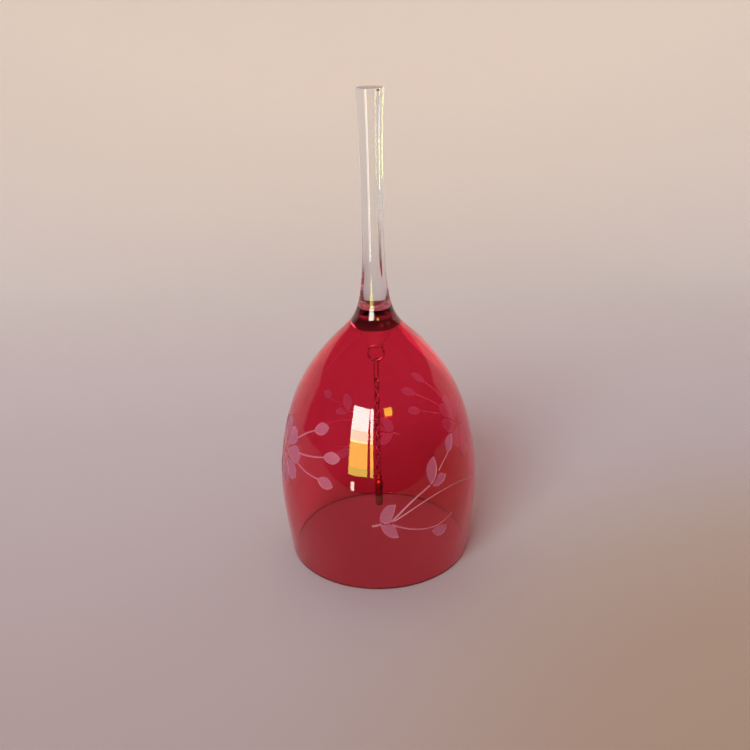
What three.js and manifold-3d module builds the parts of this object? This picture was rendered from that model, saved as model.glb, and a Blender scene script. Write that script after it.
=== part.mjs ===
// A table bell of ruby-stained glass with a clear six-sided stem for a handle.
// A wire ring is set in clear glue at the top of the bowl's hollow. A long link, a fine chain and
// a turned metal clapper hang from it.
// Millimetres. +Z is up along the bell's axis, and the origin is the centre of the rim's plane.

import * as THREE from "three";
import { mergeVertices } from "three/addons/utils/BufferGeometryUtils.js";
import Module from "manifold-3d";

const wasm = await Module();
wasm.setup();

// ---- driving dimensions ----

const HEIGHT = 177.7;
const SEAM_Z = 100.7; // where the stained bowl ends and the clear stem begins
const SEAM_R = 6.4;
const APEX_Z = 93.1; // top of the bowl's hollow
const APEX_FLAT_R = 6.3;
const RIM_CHAMFER = 0.25;
const RIM_WALL = 1.6;
const RIM_FLARE = 0.05; // how much wider the wall's two faces are just above their chamfers

// The bowl's outline, [radius, height], from the rim up to the neck.
const BOWL_OUTSIDE = [
  [35.4, 0], [36.9, 12], [38.3, 31], [35.7, 52], [29.6, 69.4], [21.6, 81.6], [13.8, 90.2],
  [8.5, 96], [SEAM_R, SEAM_Z],
];
// The hollow's outline. The wall is thin at the rim and thickest at the shoulder.
const BOWL_INSIDE = [
  [35.4 - RIM_WALL, 0], [35.3, 12], [36.6, 31], [33.9, 52], [27.6, 69.4], [19.3, 81.2],
  [11.9, 88.9], [8.6, 91.8], [APEX_FLAT_R, APEX_Z],
];
// The stem's outline, measured to its corners, from the seam to the flared flat top.
const STEM_OUTSIDE = [
  [SEAM_R, SEAM_Z], [4.85, 110], [4.2, 122], [4.08, 138], [4.2, 155], [4.6, 169], [5.05, HEIGHT],
];
const STEM_SIDES = 6;
const STEM_TURN = -14.5; // degrees from the -Y direction to the nearest corner
const STEM_FACET_FROM = 101.5; // the round neck turns into facets between these two heights
const STEM_FACET_TO = 121;
const STEM_CORNER_SOFTNESS = 0.1;

const RING_R = 3.4; // outer radius of the split ring
const RING_WIRE = 0.8;
const RING_DEPTH = 0.85; // its two flat turns lie side by side
const RING_Z = 81.4;
const GLUE_GAP = 0.25;
const GLUE_OUTSIDE = [[0, 83.2], [2.1, 83.8], [3.9, 85.4], [5.1, 88], [5.5, APEX_Z], [0, APEX_Z]];

const WIRE = 0.55; // of the long link and of the chain
const LINK_PLAY = 0.08; // between the wires of two links
const LONG_LINK = { length: 9.2, width: 2.8 };
const CHAIN_LINK = { length: 4.4, width: 2.4 };
const CHAIN_LINKS = 12;
const LINK_TURN = 50; // degrees about +Z from the ring's plane to the long link's

const EYE_R = 1.4; // outer radius of the clapper's eye
const EYE_WIRE = 0.6;
// The clapper's outline, [radius, height], below its eye: a plain rod, a groove, a bead and a tip
// that reaches up into the eye's wire.
const CLAPPER_OUTSIDE = [
  [0, -14], [1.25, -14], [1.5, -13.7], [1.5, -3.6], [0.9, -2.5], [1.35, -1.9], [1.35, -1.3],
  [0.75, -0.7], [0.6, 0.35], [0, 0.35],
];

// ---- fineness of the meshes ----

const BOWL_SEGMENTS = 60;
const STEM_SEGMENTS = 48;
const SMALL_SEGMENTS = 20;
const BOWL_STEPS = 18; // along each outline
const HOLLOW_STEPS = 15;
const STEM_STEPS = 16;
const LINK_FINENESS = { sides: 6, steps: 16 }; // round the wire, and round the ring
const RING_FINENESS = { sides: 8, steps: 32 };
const EYE_FINENESS = { sides: 8, steps: 20 };
const MERGE_DISTANCE = 1e-4;

// ---- materials ----

const metal = (color, roughness) =>
  new THREE.MeshStandardMaterial({ color, roughness, metalness: 1 });
const glass = (color, opacity) =>
  new THREE.MeshStandardMaterial({ color, roughness: 0.03, metalness: 0, transparent: true, opacity });

const RUBY = glass(0x9b1b34, 0.6);
const CLEAR = glass(0xf2f0ee, 0.35);
const GLUE = glass(0xe9e2d8, 0.5);
const NICKEL = metal(0xb9b4ac, 0.25);
const BRONZE = metal(0x6d4a2e, 0.35);

// ---- helpers ----

const radians = THREE.MathUtils.degToRad;
const points = (pairs) => pairs.map(([r, z]) => new THREE.Vector2(r, z));

/** A smooth outline through a few points, as `steps` + 1 points. */
const smooth = (pairs, steps) => new THREE.SplineCurve(points(pairs)).getPoints(steps);

/** Turns an outline about the Z axis. */
function turned(outline, segments) {
  return new THREE.LatheGeometry(outline, segments).rotateX(Math.PI / 2);
}

/** Moves every vertex of a geometry by a function of its place. */
function shaped(geometry, move) {
  const position = geometry.attributes.position;
  const vertex = new THREE.Vector3();
  for (let i = 0; i < position.count; i += 1) {
    vertex.fromBufferAttribute(position, i);
    move(vertex);
    position.setXYZ(i, vertex.x, vertex.y, vertex.z);
  }
  return geometry;
}

/** Only the corner points and triangles of a closed geometry, with shared points merged. */
function bare(geometry) {
  const copy = geometry.clone();
  copy.deleteAttribute("normal");
  copy.deleteAttribute("uv");
  return mergeVertices(copy, MERGE_DISTANCE);
}

function toSolid(geometry) {
  const merged = bare(geometry);
  const mesh = new wasm.Mesh({
    numProp: 3,
    vertProperties: new Float32Array(merged.attributes.position.array),
    triVerts: new Uint32Array(merged.index.array),
  });
  return new wasm.Manifold(mesh);
}

function toGeometry(solid) {
  const mesh = solid.getMesh();
  const geometry = new THREE.BufferGeometry();
  geometry.setAttribute("position", new THREE.BufferAttribute(mesh.vertProperties, 3));
  geometry.setIndex(new THREE.BufferAttribute(mesh.triVerts, 1));
  geometry.computeVertexNormals();
  return geometry;
}

/** A round wire bent to a ring that stands in the XZ plane, with its centre at the origin. */
function wireRing(outerRadius, wire, { sides, steps }) {
  const ring = new THREE.TorusGeometry(outerRadius - wire / 2, wire / 2, sides, steps);
  return ring.rotateZ(Math.PI / steps).rotateX(Math.PI / 2);
}

/** A link with two straight legs: a ring cut across its middle and drawn apart. */
function wireLink({ length, width }, wire) {
  const stretch = (length - width) / 2;
  return shaped(wireRing(width / 2, wire, LINK_FINENESS), (v) => {
    v.z += Math.sign(v.z) * stretch;
  });
}

function named(name, geometry, material) {
  const mesh = new THREE.Mesh(geometry, material);
  mesh.name = name;
  return mesh;
}

// ---- glass ----

function bellBowl() {
  const outside = smooth(BOWL_OUTSIDE, BOWL_STEPS);
  const inside = smooth(BOWL_INSIDE, HOLLOW_STEPS).reverse();
  const [rimR] = BOWL_OUTSIDE[0];
  const innerR = rimR - RIM_WALL;
  outside[0].set(rimR - RIM_CHAMFER, 0);
  outside.splice(1, 0, new THREE.Vector2(rimR + RIM_FLARE, RIM_CHAMFER));
  inside[inside.length - 1].set(innerR + RIM_CHAMFER, 0);
  inside.splice(inside.length - 1, 0, new THREE.Vector2(innerR + RIM_FLARE, RIM_CHAMFER));
  const top = points([[0, SEAM_Z], [0, APEX_Z]]);
  // around the wall: up the outside, across the seam to the axis, and down the hollow to the rim
  const outline = [...outside, top[0], top[1], ...inside, outside[0].clone()];
  return named("bell_bowl", turned(outline, BOWL_SEGMENTS), RUBY);
}

/** How far a six-sided section with softened corners reaches at an angle, its corners being 1. */
function facetReach(angle) {
  const half = Math.PI / STEM_SIDES;
  const fromCorner = THREE.MathUtils.euclideanModulo(angle + half, 2 * half) - half;
  const flat = Math.cos(half) / Math.cos(half - Math.abs(fromCorner));
  return Math.min(flat, 1 - STEM_CORNER_SOFTNESS * (1 - Math.cos(half)));
}

function stemHandle() {
  const side = smooth(STEM_OUTSIDE, STEM_STEPS);
  const outline = [...points([[0, SEAM_Z]]), ...side, ...points([[0, HEIGHT]])];
  const corner = radians(STEM_TURN - 90);
  const stem = shaped(turned(outline, STEM_SEGMENTS), (v) => {
    const faceted = THREE.MathUtils.smoothstep(v.z, STEM_FACET_FROM, STEM_FACET_TO);
    const reach = facetReach(Math.atan2(v.y, v.x) - corner);
    const scale = THREE.MathUtils.lerp(1, reach, faceted);
    v.x *= scale;
    v.y *= scale;
  });
  return named("stem_handle", stem, CLEAR);
}

// ---- hanger, chain and clapper ----

/** The split ring's two turns as one flattened ring, of a given wire and depth. */
function splitRingGeometry(wire, depth) {
  const ring = wireRing(RING_R + (wire - RING_WIRE) / 2, wire, RING_FINENESS);
  return ring.scale(1, depth / wire, 1).translate(0, 0, RING_Z);
}

function gluePad() {
  const pad = toSolid(turned(points(GLUE_OUTSIDE), SMALL_SEGMENTS));
  const bed = toSolid(splitRingGeometry(RING_WIRE + 2 * GLUE_GAP, RING_DEPTH + 2 * GLUE_GAP));
  return named("glue_pad", toGeometry(pad.subtract(bed)), GLUE);
}

function clapper() {
  const body = turned(points(CLAPPER_OUTSIDE), SMALL_SEGMENTS);
  const eye = wireRing(EYE_R, EYE_WIRE, EYE_FINENESS).translate(0, 0, EYE_R);
  return named("clapper", toGeometry(toSolid(body).add(toSolid(eye))), BRONZE);
}

const group = new THREE.Group();
group.add(bellBowl(), stemHandle(), gluePad());
group.add(named("split_ring", splitRingGeometry(RING_WIRE, RING_DEPTH), NICKEL));

// Each link hangs with its top wire just above the bottom wire of the piece that it hangs from.
let insideBottom = RING_Z - RING_R + RING_WIRE;
let turn = LINK_TURN;

function hang(mesh, reachAbove, bottom) {
  mesh.position.z = insideBottom + LINK_PLAY - reachAbove;
  mesh.rotation.z = radians(turn);
  turn += 90;
  insideBottom = mesh.position.z - bottom;
  group.add(mesh);
}

function hangLink(name, size) {
  const innerHalf = size.length / 2 - WIRE;
  hang(named(name, wireLink(size, WIRE), NICKEL), innerHalf, innerHalf);
}

hangLink("long_link", LONG_LINK);
for (let i = 1; i <= CHAIN_LINKS; i += 1) {
  hangLink(`chain_link_${String(i).padStart(2, "0")}`, CHAIN_LINK);
}
hang(clapper(), 2 * EYE_R - EYE_WIRE, 0);

export default group;
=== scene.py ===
"""A ruby-stained glass table bell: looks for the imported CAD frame. Metres, +Z up, rim at z = 0."""

import math

import bmesh
import bpy
import numpy as np
from mathutils import Matrix, Vector
from mathutils import noise
from mathutils.geometry import delaunay_2d_cdt


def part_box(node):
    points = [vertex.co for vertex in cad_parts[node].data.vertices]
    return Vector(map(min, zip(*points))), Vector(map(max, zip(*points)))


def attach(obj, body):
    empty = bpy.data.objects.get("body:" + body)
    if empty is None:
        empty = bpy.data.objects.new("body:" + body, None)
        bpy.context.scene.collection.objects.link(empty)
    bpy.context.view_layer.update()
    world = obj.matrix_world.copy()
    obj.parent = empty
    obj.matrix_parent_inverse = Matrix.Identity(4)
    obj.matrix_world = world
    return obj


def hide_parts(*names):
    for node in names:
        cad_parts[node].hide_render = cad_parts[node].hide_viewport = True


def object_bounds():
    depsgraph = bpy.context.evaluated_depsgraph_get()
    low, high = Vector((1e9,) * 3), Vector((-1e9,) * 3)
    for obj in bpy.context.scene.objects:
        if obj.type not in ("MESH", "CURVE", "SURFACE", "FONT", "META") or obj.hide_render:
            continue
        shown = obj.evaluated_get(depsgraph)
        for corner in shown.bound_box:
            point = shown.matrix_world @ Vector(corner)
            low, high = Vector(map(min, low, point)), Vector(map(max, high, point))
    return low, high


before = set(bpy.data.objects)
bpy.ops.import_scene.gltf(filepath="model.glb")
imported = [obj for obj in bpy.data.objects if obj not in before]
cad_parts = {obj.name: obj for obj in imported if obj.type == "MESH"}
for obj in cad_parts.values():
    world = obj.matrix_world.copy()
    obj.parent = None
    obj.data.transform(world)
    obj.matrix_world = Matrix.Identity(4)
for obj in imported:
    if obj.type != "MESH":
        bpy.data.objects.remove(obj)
cad_low, cad_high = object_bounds()

MM = 0.001
TAU = 2 * math.pi

# ---- sizes from the frame ----

HEIGHT = cad_high.z
SEAM_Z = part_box("stem_handle")[0].z
RING_LOW, RING_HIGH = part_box("split_ring")
PAD_LOW, PAD_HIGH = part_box("glue_pad")
CLAPPER_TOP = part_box("clapper")[1].z
LINKS = sorted(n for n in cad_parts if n.startswith("chain_link"))

# The glass's outlines in millimetres, [radius, height], as the CAD part has them. Only the top of
# the hollow differs a little: it is a wider flat with a crisp corner.
BOWL_OUTSIDE = [
    (35.4, 0), (36.9, 12), (38.3, 31), (35.7, 52), (29.6, 69.4), (21.6, 81.6), (13.8, 90.2),
    (8.5, 96), (6.4, 100.7),
]
STEM_OUTSIDE = [(4.85, 110), (4.2, 122), (4.08, 138), (4.2, 155), (4.6, 169), (5.05, 177.7)]
BOWL_INSIDE = [
    (33.8, 0), (35.3, 12), (36.6, 31), (33.9, 52), (27.6, 69.4), (19.3, 81.2), (12.4, 88.8),
    (9.9, 91.4), (8.2, 93.1),
]
STEM_SIDES = 6
STEM_WAIST_R = 4.1 * MM
STEM_TURN = math.radians(-14.5)
FACETS_FROM, FACETS_TO = 101.5 * MM, 121 * MM
STEM_EDGE_R = 0.75 * MM
RIM_ROUND = 0.5 * MM

RING_WIRE = 0.8 * MM
LINK_WIRE = 0.55 * MM
LONG_LINK_WIDTH, CHAIN_LINK_WIDTH = 2.8 * MM, 2.4 * MM
LINK_TURN = 50  # degrees about +Z from the ring's plane to the long link's
EYE_R, EYE_WIRE = 1.4 * MM, 0.6 * MM

NECK_SHADE_FROM, NECK_SHADE_TO = 92.5 * MM, 96.5 * MM  # between these the stain is painted darker: painted shade for the dark solid neck
AROUND = 168
SEAM_ANGLE = math.radians(-106)  # where the unrolled bowl is closed, clear of the engraving
UNROLLED_R = 37 * MM
GRID_STEP = 1.4 * MM
ENGRAVED_DEPTH = 0.12 * MM
CUT_SLOPE = 0.14 * MM  # how wide the sloping wall of a cut is
CUT_CLEARANCE = 0.45 * MM  # no point of the grid lies closer to a cut's outline
SLACK = 1e-6  # within this a point counts as being on an edge

CURVE_SAMPLES = 2001


# ---- curves ----

class Curve:
    """A smooth curve through a few points, by a natural cubic spline over its chord length."""

    def __init__(self, points, scale=MM):
        self.points = np.array(points, float) * scale
        chords = np.linalg.norm(np.diff(self.points, axis=0), axis=1)
        slopes = np.diff(self.points, axis=0) / chords[:, None]
        self.knots = np.concatenate([[0], np.cumsum(chords)])
        count = len(self.knots)
        system = np.zeros((count, count))
        change = np.zeros((count, 2))
        system[0, 0] = system[-1, -1] = 1
        for i in range(1, count - 1):
            before, after = chords[i - 1], chords[i]
            system[i, i - 1 : i + 2] = before, 2 * (before + after), after
            change[i] = 6 * (slopes[i] - slopes[i - 1])
        self.bends = np.linalg.solve(system, change)
        self.samples = np.linspace(0, self.knots[-1], CURVE_SAMPLES)
        steps = np.linalg.norm(np.diff(self.at_parameter(self.samples), axis=0), axis=1)
        self.arc = np.concatenate([[0], np.cumsum(steps)])
        self.length = self.arc[-1]

    def at_parameter(self, t):
        """Points [radius, height] at distances t along the chords."""
        t = np.clip(t, 0, self.knots[-1])
        i = np.clip(np.searchsorted(self.knots, t, side="right") - 1, 0, len(self.knots) - 2)
        chord = (self.knots[i + 1] - self.knots[i])[:, None]
        a = (self.knots[i + 1] - t)[:, None] / chord
        b = 1 - a
        bend = ((a**3 - a) * self.bends[i] + (b**3 - b) * self.bends[i + 1]) * chord**2 / 6
        return a * self.points[i] + b * self.points[i + 1] + bend

    def at(self, s):
        """Points [radius, height] at arc lengths s."""
        return self.at_parameter(np.interp(np.atleast_1d(s), self.arc, self.samples))

    def outward(self, s):
        """The outward normals [radial, up] at arc lengths s of a curve that runs upwards."""
        step = self.length * 1e-4
        d = self.at(np.atleast_1d(s) + step) - self.at(np.atleast_1d(s) - step)
        d /= np.linalg.norm(d, axis=1)[:, None]
        return np.stack([d[:, 1], -d[:, 0]], 1)

    def arc_at_height(self, z):
        heights = self.at_parameter(self.samples)[:, 1]
        return float(np.interp(z, heights, self.arc))


outside = Curve(BOWL_OUTSIDE + STEM_OUTSIDE)
inside = Curve(BOWL_INSIDE)
SEAM_S = outside.arc_at_height(SEAM_Z)


def spin(radial, up, angle):
    """A point or direction at an angle from the -Y direction, positive towards +X."""
    return Vector((radial * math.sin(angle), -radial * math.cos(angle), up))


def smoothstep(x, low, high):
    t = min(1, max(0, (x - low) / (high - low)))
    return t * t * (3 - 2 * t)


# ---- mesh helpers ----

def add_object(name, data):
    obj = bpy.data.objects.new(name, data)
    bpy.context.scene.collection.objects.link(obj)
    return obj


def smooth(mesh):
    mesh.polygons.foreach_set("use_smooth", [True] * len(mesh.polygons))


def make_object(name, verts, faces, body, node, mats, face_mats=None, normals=None):
    """A visible piece: a mesh that rides on a body and stands for a node of the frame."""
    mesh = bpy.data.meshes.new(name)
    mesh.from_pydata([tuple(v) for v in verts], [], faces)
    for m in mats:
        mesh.materials.append(m)
    if face_mats is not None:
        mesh.polygons.foreach_set("material_index", face_mats)
    smooth(mesh)
    mesh.update()
    if normals is not None:
        mesh.normals_split_custom_set([tuple(n) for n in normals])
    obj = add_object(name, mesh)
    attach(obj, body)
    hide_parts(node)
    return obj


def grid_faces(rows, columns, closed_rows=False):
    """Quads between rows of points, each row running round. The rows go up the outside."""
    faces = []
    for i in range(rows if closed_rows else rows - 1):
        a, b = i * columns, (i + 1) % rows * columns
        for j in range(columns):
            k = (j + 1) % columns
            faces.append((a + j, a + k, b + k, b + j))
    return faces


def end_faces(rows, columns):
    """The flat faces that close the first and the last of rows of points."""
    last = (rows - 1) * columns
    return [list(range(columns))[::-1], [last + j for j in range(columns)]]


def tube(path, section, closed=True):
    """Sweeps a section, given as (outward, sideways) pairs, along a path of (point, out, side)."""
    verts = [p + out * a + side * b for p, out, side in path for a, b in section]
    faces = grid_faces(len(path), len(section), closed_rows=closed)
    if not closed:
        faces += end_faces(len(path), len(section))
    return verts, faces


def close_up(obj, angle=40):
    """Recalculates the faces outward, and keeps edges sharper than an angle crisp."""
    bm = bmesh.new()
    bm.from_mesh(obj.data)
    bmesh.ops.recalc_face_normals(bm, faces=bm.faces)
    bm.to_mesh(obj.data)
    bm.free()
    obj.data.set_sharp_from_angle(angle=math.radians(angle))
    return obj


# ---- node helpers ----

class Nodes:
    """The node tree of a material or a world, with short calls to add and link nodes."""

    def __init__(self, owner, output):
        owner.use_nodes = True
        self.owner, self.tree = owner, owner.node_tree
        self.tree.nodes.clear()
        self.out = self.add(output)

    def add(self, kind, **settings):
        node = self.tree.nodes.new(kind)
        for key, value in settings.items():
            setattr(node, key, value)
        return node

    def link(self, source, target):
        self.tree.links.new(source, target)

    def remap(self, source, start, end, low=0.0, high=1.0, kind="SMOOTHSTEP"):
        """Maps the range start to end of an input to the range low to high."""
        node = self.add("ShaderNodeMapRange", interpolation_type=kind)
        limits = {"From Min": start, "From Max": end, "To Min": low, "To Max": high}
        for name, value in limits.items():
            node.inputs[name].default_value = value
        self.link(source, node.inputs["Value"])
        return node.outputs["Result"]

    def mix_shaders(self, factor, first, second):
        node = self.add("ShaderNodeMixShader")
        for socket, source in zip(node.inputs, (factor, first, second)):
            self.link(source, socket)
        return node.outputs[0]

    def finish(self, shader):
        """Makes the shader the surface, and gives the finished material or world."""
        self.link(shader, self.out.inputs["Surface"])
        return self.owner


class Shader(Nodes):
    """A material."""

    def __init__(self, name):
        super().__init__(bpy.data.materials.new(name), "ShaderNodeOutputMaterial")

    def place(self, scale=(1, 1, 1)):
        """The point on the object, in metres times scale."""
        mapping = self.add("ShaderNodeMapping")
        mapping.inputs["Scale"].default_value = scale
        self.link(self.add("ShaderNodeTexCoord").outputs["Object"], mapping.inputs["Vector"])
        return mapping.outputs["Vector"]

    def noise(self, scale, detail=3, roughness=0.5, stretch=(1, 1, 1)):
        node = self.add("ShaderNodeTexNoise")
        node.inputs["Scale"].default_value = scale
        node.inputs["Detail"].default_value = detail
        node.inputs["Roughness"].default_value = roughness
        self.link(self.place(stretch), node.inputs["Vector"])
        return node.outputs["Fac"]

    def ramp(self, source, stops):
        """Colours at positions along a 0 to 1 input."""
        node = self.add("ShaderNodeValToRGB")
        elements = node.color_ramp.elements
        while len(elements) < len(stops):
            elements.new(0.5)
        for element, (position, colour) in zip(elements, stops):
            element.position = position
            element.color = (*colour, 1)
        self.link(source, node.inputs["Fac"])
        return node.outputs["Color"]

    def mix_colours(self, factor, first, second, blend_type="MIX"):
        node = self.add("ShaderNodeMix", data_type="RGBA", blend_type=blend_type)
        sockets = [i for i in node.inputs if i.enabled]
        for socket, value in zip(sockets, (factor, first, second)):
            if isinstance(value, tuple):
                socket.default_value = (*value, 1)
            else:
                self.link(value, socket)
        return next(o for o in node.outputs if o.enabled)

    def by_height(self, below, above, low, high):
        """One colour below a height on the object and another above it."""
        axes = self.add("ShaderNodeSeparateXYZ")
        self.link(self.place(), axes.inputs[0])
        return self.mix_colours(self.remap(axes.outputs["Z"], low, high), below, above)

    def spread(self, source, low, high):
        """Maps a 0.3 to 0.7 noise to the range low to high."""
        return self.remap(source, 0.3, 0.7, low, high, "LINEAR")

    def bump(self, height, strength, distance):
        node = self.add("ShaderNodeBump")
        node.inputs["Strength"].default_value = strength
        node.inputs["Distance"].default_value = distance
        self.link(height, node.inputs["Height"])
        return node.outputs["Normal"]

    def calculate(self, operation, first, second):
        """A sum with two values, each a number or an output, kept between 0 and 1."""
        node = self.add("ShaderNodeMath", operation=operation, use_clamp=True)
        for socket, value in zip(node.inputs, (first, second)):
            if isinstance(value, float):
                socket.default_value = value
            else:
                self.link(value, socket)
        return node.outputs[0]

    def transparent(self, tint=(1, 1, 1)):
        node = self.add("ShaderNodeBsdfTransparent")
        node.inputs["Color"].default_value = (*tint, 1)
        return node.outputs[0]

    def principled(self, **values):
        node = self.add("ShaderNodeBsdfPrincipled")
        for key, value in values.items():
            socket = node.inputs[key.replace("_", " ")]
            if isinstance(value, bpy.types.NodeSocket):
                self.link(value, socket)
            else:
                socket.default_value = value
        return node.outputs[0]

    def lamps_pass(self, shader, tint):
        """Lets lamps' rays and scattered light through the glass, tinted, in place of caustics."""
        path = self.add("ShaderNodeLightPath")
        rays = path.outputs["Is Shadow Ray"], path.outputs["Is Diffuse Ray"]
        either = self.calculate("MAXIMUM", *rays)
        return self.finish(self.mix_shaders(either, shader, self.transparent(tint)))


# ---- materials ----

def ruby_lustre():
    """The stain on the outside of the bowl: ruby with a golden lustre, painted much darker at the neck
    as painted shade.
    """
    s = Shader("ruby_lustre")
    cloud = s.noise(28, 4, 0.55, (1, 1, 0.6))
    bowl = s.ramp(cloud, [(0.32, (0.83, 0.024, 0.066)), (0.68, (0.91, 0.035, 0.088))])
    # Painted shade: a near-black colour at the neck, for the dark band that the solid neck shows.
    neck = s.ramp(cloud, [(0.32, (0.09, 0.006, 0.010)), (0.68, (0.13, 0.009, 0.014))])
    smudges = s.noise(90, 5, 0.6)
    glass = s.principled(
        Base_Color=s.by_height(bowl, neck, NECK_SHADE_FROM, NECK_SHADE_TO),
        Roughness=s.spread(smudges, 0.012, 0.035), IOR=1.52, Transmission_Weight=1.0,
        Specular_IOR_Level=0.85, Specular_Tint=(1.0, 0.93, 0.82, 1),
    )
    return s.lamps_pass(glass, (0.62, 0.15, 0.19))


def ruby_rim_shade():
    """The ground rim, painted dark round the edge: painted shade for the dark line that the rounded rim
    shows.
    """
    s = Shader("ruby_rim_shade")
    # Painted shade: a near-black colour on the rim's rounding.
    colour = s.ramp(s.noise(700, 4), [(0.3, (0.08, 0.008, 0.013)), (0.7, (0.18, 0.016, 0.024))])
    glass = s.principled(Base_Color=colour, Roughness=0.12, IOR=1.52, Transmission_Weight=0.8)
    return s.lamps_pass(glass, (0.5, 0.1, 0.13))


def clear_glass():
    """The clear glass of the stem and of the bowl's hollow, faintly streaked."""
    s = Shader("clear_glass")
    streaks = s.noise(60, 4, 0.5, (1, 1, 0.15))
    colour = s.ramp(streaks, [(0.3, (0.975, 0.975, 0.965)), (0.7, (0.995, 0.995, 0.99))])
    rough = s.spread(s.noise(150, 4), 0.003, 0.012)
    glass = s.principled(Base_Color=colour, Roughness=rough, IOR=1.52, Transmission_Weight=1.0)
    return s.lamps_pass(glass, (0.95, 0.95, 0.94))


def engraved(name, dark, light, clear):
    """Wheel-cut through the stain: frosted glass with fine wheel marks."""
    s = Shader(name)
    grain = s.noise(2600, 4, 0.6)
    glass = s.principled(
        Base_Color=s.ramp(grain, [(0.3, dark), (0.7, light)]), Roughness=0.45, IOR=1.5,
        Transmission_Weight=clear, Normal=s.bump(grain, 0.5, 0.00005),
    )
    return s.lamps_pass(glass, (0.80, 0.35, 0.42))


def joint_in_glass():
    """The plane inside the neck where the two glasses are one, so nothing shows there."""
    s = Shader("joint_in_glass")
    return s.finish(s.transparent())


def glue():
    """Clear glue, slightly cloudy, with a wrinkled skin."""
    s = Shader("clear_glue")
    wrinkles = s.bump(s.noise(650, 3, 0.5, (1, 1, 2.5)), 0.9, 0.0006)
    clear = s.principled(
        Base_Color=s.ramp(s.noise(500, 4), [(0.3, (0.88, 0.84, 0.82)), (0.7, (0.98, 0.95, 0.93))]),
        Roughness=s.spread(s.noise(900, 4), 0.05, 0.2), IOR=1.07, Transmission_Weight=1.0,
        Coat_Weight=1.0, Coat_Roughness=0.2, Coat_Normal=wrinkles, Normal=wrinkles,
    )
    return s.lamps_pass(clear, (0.9, 0.9, 0.88))


def nickel():
    """Tarnished nickel wire."""
    s = Shader("nickel_wire")
    tarnish = s.noise(900, 5, 0.6)
    metal = s.principled(
        Base_Color=s.ramp(tarnish, [(0.3, (0.22, 0.20, 0.18)), (0.7, (0.62, 0.58, 0.54))]),
        Metallic=1.0, Roughness=s.spread(s.noise(2500, 4), 0.16, 0.36),
        Normal=s.bump(s.noise(4000, 3), 0.25, 0.00003),
    )
    return s.finish(metal)


def bronze():
    """Dark, patinated bronze with the lathe's marks round it."""
    s = Shader("dark_bronze")
    patina = s.noise(500, 5, 0.65, (1, 1, 0.35))
    stops = [(0.32, (0.09, 0.045, 0.025)), (0.55, (0.24, 0.13, 0.065)), (0.72, (0.42, 0.26, 0.13))]
    turning = s.noise(1200, 2, 0.5, (0.15, 0.15, 6))
    metal = s.principled(
        Base_Color=s.ramp(patina, stops), Metallic=1.0, Roughness=s.spread(patina, 0.5, 0.28),
        Normal=s.bump(turning, 0.3, 0.00004),
    )
    return s.finish(metal)


RUBY, RIM_SHADE, CLEAR, JOINT = ruby_lustre(), ruby_rim_shade(), clear_glass(), joint_in_glass()
FROST = engraved("engraved_frost", (0.74, 0.21, 0.42), (0.88, 0.30, 0.54), 0.85)
# The cuts' sloping walls: a lighter, more coral colour, a painted highlight for the light that the
# grooves catch.
CUT_EDGE_HIGHLIGHT = engraved("cut_edge_highlight", (0.74, 0.30, 0.36), (0.90, 0.45, 0.48), 0.6)
GLUE, NICKEL, BRONZE = glue(), nickel(), bronze()


# ---- engraving, drawn on the unrolled bowl ----
# Places are (degrees from the -Y direction towards +X, height in millimetres), widths millimetres.

def on_wall(degrees, height):
    """A place on the unrolled bowl: metres round it and metres up its outline."""
    return Vector((math.radians(degrees) * UNROLLED_R, outside.arc_at_height(height * MM)))


def left_of(direction):
    """The unit direction a quarter turn to the left."""
    return Vector((-direction.y, direction.x)).normalized()


def petal(base, tip, left, right, fullness=0.42, point=0.8, steps=9):
    """A leaf, bud or petal: two bulging sides from its base to its pointed tip."""
    along = tip - base
    across = left_of(along)
    outline = []
    for side, bulge in ((-1, right), (1, left)):
        for i in range(steps):
            t = i / steps if side < 0 else 1 - i / steps
            swell = math.sin(math.pi * t ** (math.log(0.5) / math.log(fullness))) ** point
            outline.append(base + along * t + across * (side * bulge * MM * swell))
    return outline


def stem_line(points, start_width, end_width, steps=14):
    """A thin cut line along a smooth curve through points."""
    line = Curve([tuple(p) for p in points], 1)
    places = [Vector(line.at(i / steps * line.length)[0]) for i in range(steps + 1)]
    left, right = [], []
    for i, p in enumerate(places):
        across = left_of(places[min(i + 1, steps)] - places[max(i - 1, 0)])
        half = (start_width + (end_width - start_width) * i / steps) * MM / 2
        left.append(p + across * half)
        right.append(p - across * half)
    return right + left[::-1]


def blade(*sides, steps=6):
    """A cut shape between sides that each run smoothly through their places, corner to corner."""
    outline = []
    for side in sides:
        if len(side) < 3:
            outline.append(side[0])
            continue
        line = Curve([tuple(p) for p in side], 1)
        outline += [Vector(line.at(line.length * i / steps)[0]) for i in range(steps)]
    area = sum(outline[i - 1].cross(outline[i]) for i in range(len(outline)))
    return outline if area > 0 else outline[::-1]


def flower_with_buds(degrees, height):
    """A broad-petalled flower with three buds on stems to its right."""
    at = lambda d, h: on_wall(degrees + d, height + h)
    centre = at(0, 0)
    shapes = []
    for k in range(9):
        a = math.radians(10 + 40 * k)
        out = Vector((math.cos(a), math.sin(a)))
        base, tip = centre + out * 1.8 * MM, centre + out * 14 * MM
        shapes.append(petal(base, tip, left=3.4, right=3.4, fullness=0.74, point=0.55))
    for start, bow, end, tip in (
        ((16.5, 8.4), (23.3, 11.5), (30.0, 13.7), (41.3, 16.4)),
        ((20.3, 3.4), (29.8, 4.3), (39.9, 5.7), (51.3, 6.6)),
        ((20.0, -0.7), (28.0, -2.1), (37.1, -2.8), (47.6, -4.3)),
    ):
        shapes.append(stem_line([at(*start), at(*bow), at(*end)], 0.65, 0.5, 8))
        shapes.append(petal(at(*end), at(*tip), left=2.4, right=2.2, fullness=0.52, point=0.7))
    return shapes


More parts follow.
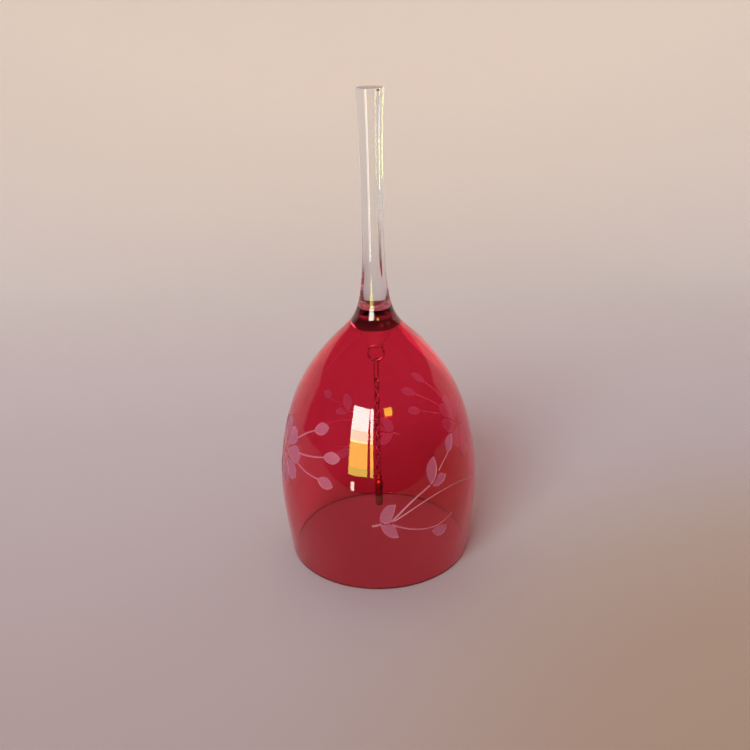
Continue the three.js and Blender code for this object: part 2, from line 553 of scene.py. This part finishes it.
def leafy_spray(degrees, height):
    """Two leaves at a node, and stems that run right to more leaves and a bud."""
    at = lambda *places: [on_wall(degrees + d, height + h) for d, h in places]
    return [
        stem_line(at((-9.8, 0), (-4.6, 0.8)), 0.9, 0.9, 6),
        blade(
            at((-0.4, 1.1), (1.9, 4.6), (3.3, 8.2)), at((3.3, 8.2), (0.8, 8.5), (-1.8, 8.2)),
            at((-1.8, 8.2), (-4.3, 6.1), (-5.6, 3.4), (-4.8, 1.4), (-0.4, 1.1)),
        ),
        blade(
            at((-0.4, 0.5), (1.9, -0.4), (3.6, -2.6), (4.6, -5.5)),
            at((4.6, -5.5), (0.4, -5.3), (-1.9, -4.2), (-4.4, -1.7), (-5.3, 0.5)),
            at((-5.3, 0.5), (-0.4, 0.5)),
        ),
        stem_line(at((0.6, 1.6), (12.8, 9.0), (23.9, 13.2)), 0.75, 0.65, 12),
        blade(
            at((24.8, 13.2), (22.7, 16.6), (22.7, 19.9), (25.2, 22.2), (28.3, 23.2)),
            at((28.3, 23.2), (29.4, 20.9), (29.2, 17.6), (27.4, 14.8), (24.8, 13.2)),
        ),
        blade(
            at((25.4, 12.8), (28.4, 14.6), (30.6, 16.3), (35.6, 15.0)),
            at((35.6, 15.0), (34.0, 13.2), (31.2, 12.1), (27.7, 11.9), (25.4, 12.8)),
        ),
        stem_line(at((30.6, 17.4), (34.4, 19.8), (39.6, 22.3)), 0.5, 0.4, 6),
        blade(
            at((39.6, 22.3), (38.8, 26.0), (41.5, 27.8), (46.7, 27.9)),
            at((46.7, 27.9), (45.3, 25.2), (42.5, 22.9), (39.6, 22.3)),
        ),
        stem_line(at((2.2, 1.8), (19.8, 7.6), (40.0, 9.6), (75.8, 1.9)), 0.5, 0.3, 24),
        stem_line(at((0.8, 0.4), (10.2, -2.3), (20.8, -4.0), (30.0, -4.0), (39.1, -1.6)), 0.7, 0.3, 16),
        blade(
            at((34.9, -5.9), (30.8, -4.9), (27.2, -5.0), (24.5, -6.0)),
            at((24.5, -6.0), (27.2, -8.6), (31.0, -9.6), (34.2, -8.6), (34.9, -5.9)),
        ),
    ]


ENGRAVING = (
    flower_with_buds(-74, 48) + leafy_spray(5.6, 30) + flower_with_buds(112, 45)
    + leafy_spray(174.5, 28)
)


# ---- the bowl ----

STAINED, PLAIN, FROSTED, JOINED, CUT_WALL, GROUND = range(6)
BOWL_MATERIALS = [RUBY, CLEAR, FROST, JOINT, CUT_EDGE_HIGHLIGHT, RIM_SHADE]

# The unrolled wall, in metres round the bell and up its outline.
WALL_LEFT = SEAM_ANGLE * UNROLLED_R
WALL_RIGHT = WALL_LEFT + TAU * UNROLLED_R
WALL_START = outside.arc_at_height(RIM_ROUND)

RIM_STEPS = 8
RIM_BULGE, RIM_DROP = 1.6, 0.8  # powers that make the rim's rounding a little squarer
HOLLOW_LEVELS = 56
LEVEL_MATCH = 1e-6 * MM  # two points this close in height are on one level


def inset(outline, distance):
    """The outline drawn in by a distance, for the sloping wall of a cut."""
    count = len(outline)
    moved = []
    for i in range(count):
        before = (outline[i] - outline[i - 1]).normalized()
        after = (outline[(i + 1) % count] - outline[i]).normalized()
        normal = Vector((-(before.y + after.y), before.x + after.x))
        if normal.length < 0.3:  # a point too sharp to follow
            continue
        moved.append(outline[i] + normal.normalized() * distance / max(0.6, normal.length / 2))
    return moved


def wall_grid(drawn):
    """Points all over the unrolled wall, save those too near to the drawn points."""
    rows = round((SEAM_S - WALL_START) / GRID_STEP)
    levels = np.linspace(WALL_START, SEAM_S, rows + 1)
    columns = np.linspace(WALL_LEFT, WALL_RIGHT, AROUND + 1)
    kept = []
    for p in (Vector((x, y)) for y in levels for x in columns):
        at_edge = (
            p.x < WALL_LEFT + SLACK or p.x > WALL_RIGHT - SLACK
            or p.y < WALL_START + SLACK or p.y > SEAM_S - SLACK
        )
        clearance = np.min(np.sum((drawn - np.array(p)) ** 2, axis=1))
        if at_edge or clearance > CUT_CLEARANCE**2:
            kept.append(p)
    return kept


def engraved_wall():
    """The unrolled wall's points and triangles, from the rim's rounding to the seam, with which
    triangles are in a cut and which points lie at a cut's depth."""
    floors = [inset(outline, CUT_SLOPE) for outline in ENGRAVING]
    coords = wall_grid(np.array([p for outline in ENGRAVING + floors for p in outline]))
    faces, edges = [], []
    for outline in ENGRAVING:
        faces.append(list(range(len(coords), len(coords) + len(outline))))
        coords += outline
    for floor in floors:
        first, count = len(coords), len(floor)
        coords += floor
        edges += [(first + i, first + (i + 1) % count) for i in range(count)]
    in_mm = [p / MM for p in coords]
    verts, _, tris, _, _, from_faces = delaunay_2d_cdt(in_mm, edges, faces, 0, 1e-4)
    in_cut = [bool(faces_of_tri) for faces_of_tri in from_faces]
    deep = [True] * len(verts)
    for tri, inside_cut in zip(tris, in_cut):
        for v in tri:
            deep[v] = deep[v] and inside_cut
    return [Vector(v) * MM for v in verts], tris, in_cut, deep


class Surface:
    """Points with their normals, and faces with their materials and shading, added bit by bit."""

    def __init__(self):
        self.verts, self.normals = [], []
        self.faces, self.mats, self.loops = [], [], []

    def add_point(self, point, normal):
        self.verts.append(point)
        self.normals.append(normal.normalized())
        return len(self.verts) - 1

    def add_face(self, face, mat, facing, flat=False):
        """A face, turned to look the way of facing, with smooth or flat shading."""
        a, b, c = (self.verts[k] for k in face[:3])
        across = (b - a).cross(c - a)
        if across.dot(facing) < 0:
            face.reverse()
            across.negate()
        across.normalize()
        self.faces.append(face)
        self.mats.append(mat)
        self.loops += [across if flat else self.normals[k] for k in face]

    def angle(self, k):
        return math.atan2(self.verts[k].x, -self.verts[k].y)

    def add_row(self, below, radius, height, direction, mat):
        """A ring of points at the angles of the one below it, and the quads between the two.
        The direction is the way that the surface faces there, as [radial, up]."""
        row = []
        for k in below:
            angle = self.angle(k)
            row.append(self.add_point(spin(radius, height, angle), spin(*direction, angle)))
        for j in range(len(row)):
            k = (j + 1) % len(row)
            face = [below[j], below[k], row[k], row[j]]
            self.add_face(face, mat, sum((self.normals[i] for i in face), Vector()))
        return row


def add_wall(surface):
    """The engraved outside. Gives its lowest and its highest ring of points."""
    unrolled, tris, in_cut, deep = engraved_wall()
    heights = np.array([p.y for p in unrolled])
    places, outward = outside.at(heights), outside.outward(heights)
    index_of, left_edge = [], {}
    for i, p in enumerate(unrolled):
        level = round(p.y / LEVEL_MATCH)
        if p.x > WALL_RIGHT - SLACK:  # where the wall meets its left edge again
            index_of.append(left_edge[level])
            continue
        radius, height = places[i] - outward[i] * (ENGRAVED_DEPTH if deep[i] else 0)
        angle = p.x / UNROLLED_R
        index_of.append(surface.add_point(spin(radius, height, angle), spin(*outward[i], angle)))
        if p.x < WALL_LEFT + SLACK:
            left_edge[level] = index_of[i]

    for tri, is_cut in zip(tris, in_cut):
        face = [index_of[v] for v in tri]
        if len(set(face)) < 3:
            continue
        slopes = is_cut and len({deep[v] for v in tri}) > 1
        # Sloping walls of a cut take the lighter colour of the painted highlight.
        mat = CUT_WALL if slopes else FROSTED if is_cut else STAINED
        surface.add_face(face, mat, surface.normals[face[0]], flat=slopes)

    def ring_at(level):
        ring = {index_of[i] for i, height in enumerate(heights) if abs(height - level) < SLACK}
        return sorted(ring, key=surface.angle)

    return ring_at(WALL_START), ring_at(SEAM_S)


def add_rim(surface, row):
    """The ground rim, rounded from the outside to the hollow. Gives its last ring of points."""
    outer = outside.at(WALL_START)[0][0]
    inner = inside.at(inside.arc_at_height(RIM_ROUND))[0][0]
    middle, half = (outer + inner) / 2, (outer - inner) / 2
    for i in range(1, RIM_STEPS + 1):
        x, y = math.cos(math.pi * i / RIM_STEPS), math.sin(math.pi * i / RIM_STEPS)
        radius = middle + half * math.copysign(abs(x) ** RIM_BULGE, x)
        row = surface.add_row(row, radius, RIM_ROUND * (1 - y**RIM_DROP), (x, -y), GROUND)
    return row


def add_hollow(surface, row):
    """The hollow, from the rim to its flat top."""
    start = inside.arc_at_height(RIM_ROUND)
    for level in np.linspace(start, inside.length, HOLLOW_LEVELS)[1:]:
        radius, height = inside.at(level)[0]
        row = surface.add_row(row, radius, height, -inside.outward(level)[0], PLAIN)
    down = Vector((0, 0, -1))
    tip = surface.add_point(Vector((0, 0, height)), down)
    for j in range(len(row)):
        surface.add_face([row[j], row[(j + 1) % len(row)], tip], PLAIN, down, flat=True)


def build_bowl():
    """The bowl: stained outside with its engraving, ground rim, plain hollow and the joint."""
    surface = Surface()
    bottom, top = add_wall(surface)
    add_hollow(surface, add_rim(surface, bottom))
    surface.add_face(top, JOINED, Vector((0, 0, 1)), flat=True)
    return make_object(
        "ruby_glass_bowl", surface.verts, surface.faces, "bell", "bell_bowl",
        BOWL_MATERIALS, surface.mats, surface.loops,
    )


# ---- the stem ----

STEM_AROUND = 144
STEM_LEVELS = 90
BEVEL = 0.35 * MM
BEVEL_STEPS = 6


def facet_reach(angle):
    """How far the six-sided section reaches at an angle, where a sharp corner would be 1."""
    half = math.pi / STEM_SIDES
    edge_r = STEM_EDGE_R / STEM_WAIST_R
    flat = math.cos(half)
    centre = (flat - edge_r) / math.cos(half)
    off = (angle + half) % (2 * half) - half
    edge = math.atan2(edge_r * math.sin(half), centre + edge_r * math.cos(half))
    if abs(off) < edge:
        return centre * math.cos(off) + math.sqrt(edge_r**2 - (centre * math.sin(off)) ** 2)
    return flat / math.cos(half - abs(off))


def stem_ring(s, z=None, shrink=0.0):
    """A ring of points round the stem: round at the neck, six-sided further up."""
    radius, height = outside.at(s)[0]
    faceted = smoothstep(height, FACETS_FROM, FACETS_TO)
    ring = []
    for j in range(STEM_AROUND):
        angle = TAU * j / STEM_AROUND
        reach = 1 + (facet_reach(angle - STEM_TURN) - 1) * faceted
        ring.append(spin(radius * reach - shrink, height if z is None else z, angle))
    return ring


def build_stem():
    """The six-sided stem, with a fine bevel round its flat top."""
    rings = [stem_ring(s) for s in np.linspace(SEAM_S, outside.length, STEM_LEVELS)[:-1]]
    for i in range(BEVEL_STEPS + 1):
        a = math.pi / 2 * i / BEVEL_STEPS
        z = HEIGHT - BEVEL * (1 - math.sin(a))
        rings.append(stem_ring(outside.length, z, BEVEL * (1 - math.cos(a))))
    bottom, top = end_faces(len(rings), STEM_AROUND)
    faces = grid_faces(len(rings), STEM_AROUND) + [top, bottom]
    obj = make_object(
        "clear_stem", [p for ring in rings for p in ring], faces, "bell", "stem_handle",
        [CLEAR, JOINT], [0] * (len(faces) - 1) + [1],
    )
    obj.data.set_sharp_from_angle(angle=math.radians(60))
    return obj


# ---- wire, glue and clapper ----

def round_section(radius, sides=12):
    """The section of a round wire."""
    return [
        (radius * math.cos(TAU * k / sides), radius * math.sin(TAU * k / sides))
        for k in range(sides)
    ]


def link_path(length, width, wire, steps=14):
    """The middle of a link's wire: two half rings joined by straight legs, in the XZ plane."""
    radius, leg = (width - wire) / 2, (length - width) / 2
    side = Vector((0, 1, 0))
    path = []
    for end in (1, -1):
        for i in range(steps + 1):
            a = math.pi * i / steps + (0 if end > 0 else math.pi)
            out = Vector((math.cos(a), 0, math.sin(a)))
            path.append((out * radius + Vector((0, 0, end * leg)), out, side))
    return path


def turned_about_z(centre, degrees):
    """The move that turns a shape about +Z and takes it from the origin to a centre."""
    return Matrix.Translation(centre) @ Matrix.Rotation(math.radians(degrees), 4, "Z")


def build_link(node, width, degrees):
    """A link of wire where the frame has it, turned about +Z from the ring's plane."""
    low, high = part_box(node)
    path = link_path(high.z - low.z, width, LINK_WIRE)
    verts, faces = tube(path, round_section(LINK_WIRE / 2))
    move = turned_about_z((low + high) / 2, degrees)
    return close_up(make_object(
        node + "_wire", [move @ v for v in verts], faces, node, node, [NICKEL]
    ))


def flat_section(wide, deep, corner):
    """A rectangle with its corners cut off."""
    a, b = wide / 2, deep / 2
    return [
        (a - corner, -b), (a, -b + corner), (a, b - corner), (a - corner, b),
        (-a + corner, b), (-a, b - corner), (-a, -b + corner), (-a + corner, -b),
    ]


def build_split_ring():
    """Two flat turns of wire side by side, with the short step where one crosses to the other."""
    centre = (RING_LOW + RING_HIGH) / 2
    radius = (RING_HIGH.z - RING_LOW.z) / 2 - RING_WIRE / 2
    thick = (RING_HIGH.y - RING_LOW.y) * 0.46  # a turn, just under half of the two
    offset = thick * 0.53
    first, last, steps = math.radians(14), math.radians(706), 150
    step_at, half_step = math.radians(150), 0.24  # where the wire crosses, and half of how long
    path = []
    for i in range(steps + 1):
        t = first + (last - first) * i / steps
        side = -offset + 2 * offset * smoothstep(t, TAU - half_step, TAU + half_step)
        out = Vector((math.cos(t + step_at), 0, math.sin(t + step_at)))
        path.append((centre + out * radius + Vector((0, side, 0)), out, Vector((0, 1, 0))))
    verts, faces = tube(path, flat_section(RING_WIRE, thick, 0.09 * MM), closed=False)
    return close_up(
        make_object("split_ring_wire", verts, faces, "bell", "split_ring", [NICKEL]),
        50,
    )


def wrinkle(p):
    """How far the glue's skin bulges at a point, about -1 to 1: broad creases and a fine one."""
    broad = noise.noise(Vector((p.x, p.y, p.z * 3)) * 300) * 0.8
    return broad + noise.noise(p * 1100 + Vector((3, 1, 7))) * 0.3


def build_glue():
    """A blob of clear glue pressed into the top of the hollow, wrinkled where it set."""
    top, low = PAD_HIGH.z - 0.05 * MM, PAD_LOW.z
    curve = Curve([
        (0, low), (2.1 * MM, low + 0.6 * MM), (3.9 * MM, low + 2.2 * MM),
        (5.0 * MM, low + 4.6 * MM), (5.35 * MM, top - 0.9 * MM), (5.0 * MM, top),
    ], 1)
    around, up = 64, 34
    verts = []
    for i in range(1, up + 1):
        radius, z = curve.at(curve.length * i / up)[0]
        fade = smoothstep(top - z, 0.2 * MM, 1.6 * MM)
        for j in range(around):
            angle = -TAU * j / around
            p = spin(radius, z, angle)
            verts.append(p + spin(1, -0.6, angle).normalized() * wrinkle(p) * fade * 0.5 * MM)
    faces = grid_faces(up, around)
    bottom_tip, top_tip, last = len(verts), len(verts) + 1, (up - 1) * around
    verts += [Vector((0, 0, low)), Vector((0, 0, top))]
    for j in range(around):
        k = (j + 1) % around
        faces += [(bottom_tip, j, k), (top_tip, last + k, last + j)]
    return close_up(
        make_object("glue_blob", verts, faces, "bell", "glue_pad", [GLUE]), 180
    )


def joined(obj, other):
    """Obj with another closed shape joined to it by a union, as one closed mesh."""
    union = obj.modifiers.new("join", "BOOLEAN")
    union.operation, union.object, union.solver = "UNION", other, "EXACT"
    done = bpy.data.meshes.new_from_object(
        obj.evaluated_get(bpy.context.evaluated_depsgraph_get())
    )
    obj.modifiers.clear()
    obj.data = done
    bpy.data.objects.remove(other)
    return obj


def make_eye(centre):
    """The clapper's wire eye, to be joined to its body."""
    path = link_path(2 * EYE_R, 2 * EYE_R - 1e-6, EYE_WIRE)
    verts, faces = tube(path, round_section(EYE_WIRE / 2))
    move = turned_about_z(centre, LINK_TURN + 90)
    mesh = bpy.data.meshes.new("eye")
    mesh.from_pydata([move @ v for v in verts], [], faces)
    return close_up(add_object("eye", mesh))


def build_clapper():
    """A slender turned clapper with a beaded neck and a wire eye."""
    shoulder = CLAPPER_TOP - 2 * EYE_R
    outline = [
        (0.9, -14.0), (1.28, -13.95), (1.45, -13.75), (1.5, -13.4), (1.5, -12.4), (1.44, -12.25),
        (1.44, -12.05), (1.5, -11.9), (1.5, -4.2), (1.42, -3.6), (1.2, -3.0), (0.92, -2.6),
        (0.92, -2.4), (1.2, -2.25), (1.38, -1.9), (1.4, -1.6), (1.38, -1.3), (1.2, -0.95),
        (0.8, -0.75), (0.66, -0.5), (0.6, 0.1), (0.5, 0.35),
    ]
    around = 40
    verts = [
        spin(r * MM, shoulder + z * MM, -TAU * j / around) for r, z in outline for j in range(around)
    ]
    faces = grid_faces(len(outline), around) + end_faces(len(outline), around)
    body = make_object("clapper_body", verts, faces, "clapper", "clapper", [BRONZE])
    close_up(body, 35)
    joined(body, make_eye((0, 0, shoulder + EYE_R)))
    smooth(body.data)
    return close_up(body, 35)


build_bowl()
build_stem()
build_glue()
build_split_ring()
build_link("long_link", LONG_LINK_WIDTH, LINK_TURN)
for number, node in enumerate(LINKS):
    build_link(node, CHAIN_LINK_WIDTH, LINK_TURN + 90 + 90 * number)
build_clapper()


# ---- the studio ----

CAMERA_AT = Vector((0, -322.7, 214.7)) * MM
CAMERA_PITCH, CAMERA_ROLL, CAMERA_YAW = 23.76, -1.39, -0.09
CAMERA_LENS = 44.64
WORLD_STRENGTH = 0.55
LIGHT_BOUNCES = 24
LAMPS_AIM = Vector((0, 0, 0.06))
# The cloth's colours with painted light and shade, from the front of the floor to the foot of the wall:
# darkest in a band round the bell's place, lighter far in front and towards the wall.
FLOOR_COLOURS_AND_SHADE = [
    (0.0, (0.60, 0.56, 0.54)), (0.2, (0.52, 0.48, 0.47)), (0.36, (0.33, 0.265, 0.275)),
    (0.56, (0.45, 0.40, 0.44)), (0.74, (0.58, 0.54, 0.555)), (1.0, (0.70, 0.62, 0.56)),
]
FLOOR_FROM, FLOOR_TO = -0.6, 0.65
# A painted pool of warm light on the cloth in front, to the right: its tint, its centre, and how far it
# fades.
WARM_LIGHT_TINT = (0.94, 0.84, 0.66)
WARM_LIGHT_AT = (0.2, -0.16, 0)
WARM_LIGHT_REACH = (0.12, 0.26)
# The backdrop's shape, and where parts of it are left out for some rays.
FLAT_R, CURVE_R, WALL_TOP = 0.35, 0.5, 1.1
FLOOR_EDGE_Y = -0.185
FRONT_HALF_Y = 0.22
WALL_FOOT_Z = 0.02
GLASS_SEES_TO_Z = 0.33


def make_camera():
    """A camera in front of the bell, looking a little down on it."""
    pitch, yaw, roll = map(math.radians, (CAMERA_PITCH, CAMERA_YAW, CAMERA_ROLL))
    level = Vector((math.sin(yaw), math.cos(yaw), 0))
    forward = level * math.cos(pitch) - Vector((0, 0, math.sin(pitch)))
    across = Vector((math.cos(yaw), -math.sin(yaw), 0))
    above = across.cross(forward)
    right = across * math.cos(roll) + above * math.sin(roll)
    up = above * math.cos(roll) - across * math.sin(roll)
    data = bpy.data.cameras.new("camera")
    data.lens, data.sensor_width = CAMERA_LENS, 36
    data.clip_start = 0.01
    camera = add_object("camera", data)
    camera.matrix_world = Matrix((
        (right.x, up.x, -forward.x, CAMERA_AT.x), (right.y, up.y, -forward.y, CAMERA_AT.y),
        (right.z, up.z, -forward.z, CAMERA_AT.z), (0, 0, 0, 1),
    ))
    bpy.context.scene.camera = camera


def soft_box(name, azimuth, elevation, distance, size, power, colour):
    """A soft rectangular lamp that faces the bell, at an azimuth from -Y towards +X."""
    data = bpy.data.lights.new(name, "AREA")
    data.shape, data.size, data.size_y = "RECTANGLE", *size
    data.energy, data.color = power, colour
    lamp = add_object(name, data)
    a, e = math.radians(azimuth), math.radians(elevation)
    lamp.location = LAMPS_AIM + spin(distance * math.cos(e), distance * math.sin(e), a)
    lamp.rotation_euler = (LAMPS_AIM - lamp.location).to_track_quat("-Z", "Y").to_euler()
    lamp.visible_camera = False
    return lamp


def panel(name, azimuth, elevation, size, radiance, colour, distance=1.6):
    """A bright pane that is seen in the glass but doesn't light the cloth."""
    power = radiance * math.pi * size[0] * size[1]
    lamp = soft_box(name, azimuth, elevation, distance, size, power, colour)
    lamp.visible_diffuse = False
    return lamp


def lighting(name, azimuth, elevation, distance, size, power, colour):
    """A lamp that lights the cloth but isn't seen in the glass."""
    lamp = soft_box(name, azimuth, elevation, distance, size, power, colour)
    lamp.visible_glossy = lamp.visible_transmission = False


def cloth_colour(s, position, place):
    """Pale cloth with painted light and shade: lighter and darker from front to back, and a painted
    pool of warm light.
    """
    pale = s.ramp(s.remap(place.outputs["Y"], FLOOR_FROM, FLOOR_TO, kind="LINEAR"), FLOOR_COLOURS_AND_SHADE)
    from_warm_light = s.add("ShaderNodeVectorMath", operation="DISTANCE")
    s.link(position, from_warm_light.inputs[0])
    from_warm_light.inputs[1].default_value = WARM_LIGHT_AT
    # Painted light: the cloth is tinted warm near the pool's centre, fading out.
    painted_warm_light = s.remap(from_warm_light.outputs["Value"], *WARM_LIGHT_REACH, 1, 0)
    return s.mix_colours(painted_warm_light, pale, WARM_LIGHT_TINT, "MULTIPLY")


def backdrop_cloth():
    """The cloth. Only the camera sees the front of the wall. What glass mirrors of the floor ends
    at the front, as at a table's edge, and glass sees nothing of the top of the wall."""
    s = Shader("backdrop_cloth")
    path = s.add("ShaderNodeLightPath")
    place = s.add("ShaderNodeSeparateXYZ")
    position = s.add("ShaderNodeNewGeometry").outputs["Position"]
    s.link(position, place.inputs[0])
    diffuse = s.add("ShaderNodeBsdfDiffuse")
    s.link(cloth_colour(s, position, place), diffuse.inputs["Color"])

    y, z = place.outputs["Y"], place.outputs["Z"]
    refracted = path.outputs["Is Transmission Ray"]
    mirrored = s.calculate("SUBTRACT", path.outputs["Is Glossy Ray"], refracted)
    unseen = s.calculate("SUBTRACT", 1.0, path.outputs["Is Camera Ray"])
    in_glass = s.calculate("MAXIMUM", mirrored, refracted)
    open_floor = s.calculate("MULTIPLY", s.calculate("LESS_THAN", y, FLOOR_EDGE_Y), mirrored)
    wall = s.calculate("GREATER_THAN", z, WALL_FOOT_Z)
    front_wall = s.calculate("MULTIPLY", s.calculate("LESS_THAN", y, FRONT_HALF_Y), wall)
    open_wall = s.calculate("MULTIPLY", front_wall, unseen)
    open_top = s.calculate("MULTIPLY", s.calculate("GREATER_THAN", z, GLASS_SEES_TO_Z), in_glass)
    floor_or_wall = s.calculate("MAXIMUM", open_floor, open_wall)
    left_out = s.calculate("MAXIMUM", floor_or_wall, open_top)
    return s.finish(s.mix_shaders(left_out, diffuse.outputs[0], s.transparent()))


def make_backdrop():
    """A round pale backdrop: a floor that curves up to a wall all round."""
    around, curve_steps = 128, 24
    side = [(0.02, 0), (FLAT_R, 0)]
    for i in range(1, curve_steps + 1):
        a = math.pi / 2 * i / curve_steps
        side.append((FLAT_R + CURVE_R * math.sin(a), CURVE_R * (1 - math.cos(a))))
    side.append((FLAT_R + CURVE_R, WALL_TOP))
    verts = [spin(r, z, -TAU * j / around) for r, z in side for j in range(around)]
    middle, _ = end_faces(len(side), around)
    mesh = bpy.data.meshes.new("backdrop")
    mesh.from_pydata(verts, [], grid_faces(len(side), around) + [middle])
    smooth(mesh)
    mesh.materials.append(backdrop_cloth())
    floor = add_object("backdrop", mesh)
    floor.location.z = -0.2 * MM


class World(Nodes):
    """The surroundings."""

    def __init__(self, name):
        world = bpy.data.worlds.new(name)
        bpy.context.scene.world = world
        super().__init__(world, "ShaderNodeOutputWorld")

    def background(self, colour, strength=1.0):
        node = self.add("ShaderNodeBackground")
        node.inputs["Color"].default_value = (*colour, 1)
        node.inputs["Strength"].default_value = strength
        return node.outputs[0]


def make_world():
    """A pale studio in a dark room: what the glass mirrors or bends from above it is dark, and
    so is what it mirrors from the front, round the camera."""
    w = World("studio")
    axes = w.add("ShaderNodeSeparateXYZ")
    w.link(w.add("ShaderNodeTexCoord").outputs["Generated"], axes.inputs[0])
    path = w.add("ShaderNodeLightPath")
    pale = w.background((0.57, 0.545, 0.56), WORLD_STRENGTH)
    cloth, dark = w.background((0.50, 0.47, 0.48)), w.background((0.022, 0.016, 0.014))
    warm, warm_above = w.background((0.60, 0.56, 0.53)), w.background((0.62, 0.56, 0.42), 0.7)
    behind = w.remap(axes.outputs["Y"], 0.20, 0.32)
    above = w.remap(axes.outputs["Z"], 0.20, 0.36)
    mirrored = w.mix_shaders(above, w.mix_shaders(behind, dark, cloth), dark)
    refracted = w.mix_shaders(above, warm, warm_above)
    straight = w.mix_shaders(path.outputs["Is Glossy Ray"], pale, mirrored)
    w.finish(w.mix_shaders(path.outputs["Is Transmission Ray"], straight, refracted))


def make_window():
    """The window as the glass mirrors it: two panes side by side, pale sky above golden trees."""
    for side, azimuth, width in (("left", -23.3, 0.605), ("right", -7.6, 0.10)):
        for part, elevation, height, radiance, colour in (
            ("sky", 25.2, 0.46, 21, (0.96, 1.0, 1.0)),
            ("haze", 13.2, 0.22, 16, (0.96, 1.0, 0.74)),
            ("trees", 1.2, 0.49, 11, (0.90, 0.94, 0.15)),
        ):
            name = f"window_{part}_{side}"
            panel(name, azimuth, elevation, (width, height), radiance, colour)


def make_lamps():
    """What glitters in the glass, and the two lamps that light the cloth."""
    make_window()
    panel("sill_glint", -29, -14, (0.10, 0.20), radiance=20, colour=(1.0, 0.86, 0.80))
    glow = panel(
        "stem_glow", 160, 4.5, (0.07, 0.165), radiance=0.5, colour=(1.0, 0.96, 0.90), distance=0.3
    )
    glow.visible_glossy = False
    panel("small_warm_window", 16.5, 30.5, (0.28, 0.17), radiance=11, colour=(1.0, 0.88, 0.06))
    lighting("window_light", -26, 32, 1.6, (0.8, 0.9), power=29, colour=(1.0, 0.95, 0.91))
    lighting("backdrop_fill", -160, 62, 1.9, (1.6, 1.6), power=12, colour=(1.0, 0.80, 0.52))


def set_light_paths(scene):
    """Plain colours, and enough bounces for light that passes many walls of glass."""
    scene.view_settings.view_transform = "Standard"
    scene.cycles.max_bounces = LIGHT_BOUNCES
    scene.cycles.transmission_bounces = LIGHT_BOUNCES
    scene.cycles.glossy_bounces = LIGHT_BOUNCES
    scene.cycles.transparent_max_bounces = LIGHT_BOUNCES
    scene.cycles.sample_clamp_indirect = 6


make_camera()
make_backdrop()
make_world()
make_lamps()
set_light_paths(bpy.context.scene)
